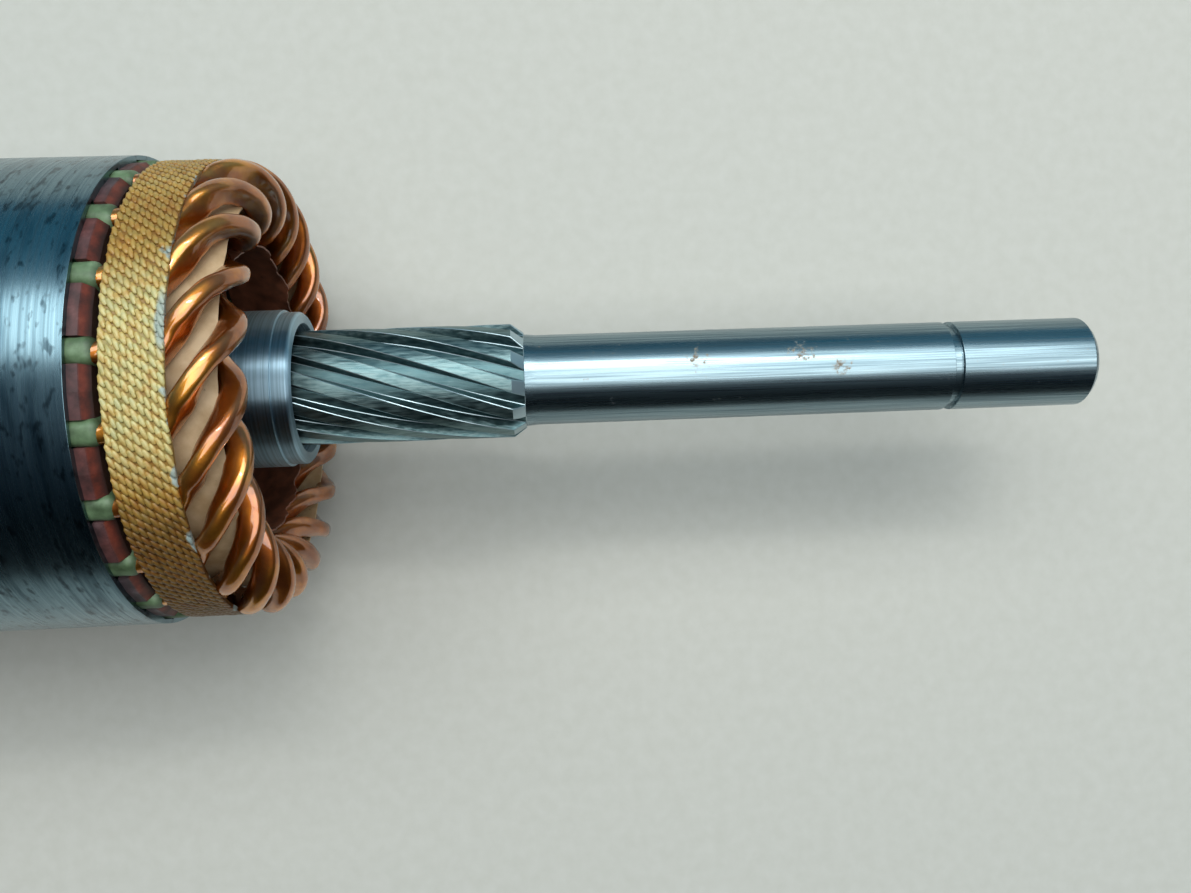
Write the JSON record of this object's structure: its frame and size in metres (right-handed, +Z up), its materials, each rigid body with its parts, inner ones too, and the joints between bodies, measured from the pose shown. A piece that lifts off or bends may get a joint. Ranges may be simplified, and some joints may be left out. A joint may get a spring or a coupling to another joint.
{
  "type": "starter motor armature",
  "caption": "Direct-current starter motor armature with a slotted core, copper hairpin coils, commutator, bearing sleeve, helical spline and a long shaft nose.",
  "frame": {"origin": "on the shaft axis where the drive-end face of the core and the inner end of the bearing sleeve meet", "axes": "+X along the shaft axis towards the drive end, +Z up, with the core lying on the floor"},
  "size_m": [0.3381, 0.0802, 0.08],
  "materials": {
    "shaft_steel": "turned and ground steel with fine lengthwise scratches, light rust spots and a trace of oil",
    "sleeve_steel": "ground bearing track with fine lines around it",
    "lamination_steel": "turned lamination stack, blue-grey, with fine lines around it and a dark edge",
    "slot_liner": "sage green slot paper, slightly fuzzy",
    "red_fibre": "brick red vulcanised fibre, scuffed grey-purple on its rim",
    "tan_paper": "tan insulating paper, matt",
    "brown_paper": "dark brown varnished paper, torn at its edge",
    "glass_band": "golden varnished woven glass band with a few pale paint smears",
    "coil_copper": "flat copper wire in amber enamel, glossy",
    "bar_copper": "bare copper, turned, brown where the brushes run",
    "mica": "grey-gold mica plate",
    "hub_moulding": "dark brown moulding compound"
  },
  "bodies": {
    "root": {"band_comm": "glass_band", "band_drive": "glass_band", "bearing_sleeve": "sleeve_steel", "coil_01": "coil_copper", "coil_02": "coil_copper", "coil_03": "coil_copper", "coil_04": "coil_copper", "coil_05": "coil_copper", "coil_06": "coil_copper", "coil_07": "coil_copper", "coil_08": "coil_copper", "coil_09": "coil_copper", "coil_10": "coil_copper", "coil_11": "coil_copper", "coil_12": "coil_copper", "coil_13": "coil_copper", "coil_14": "coil_copper", "coil_15": "coil_copper", "coil_16": "coil_copper", "coil_17": "coil_copper", "coil_18": "coil_copper", "coil_19": "coil_copper", "coil_20": "coil_copper", "coil_21": "coil_copper", "commutator_bars": "bar_copper", "commutator_hub": "hub_moulding", "commutator_mica": "mica", "core_stack": "lamination_steel", "end_fibre_comm": "red_fibre", "end_fibre_drive": "red_fibre", "inner_paper_comm": "brown_paper", "inner_paper_drive": "brown_paper", "layer_paper_comm": "tan_paper", "layer_paper_drive": "tan_paper", "shaft": "shaft_steel", "slot_liners": "slot_liner"}
  },
  "joints": []
}
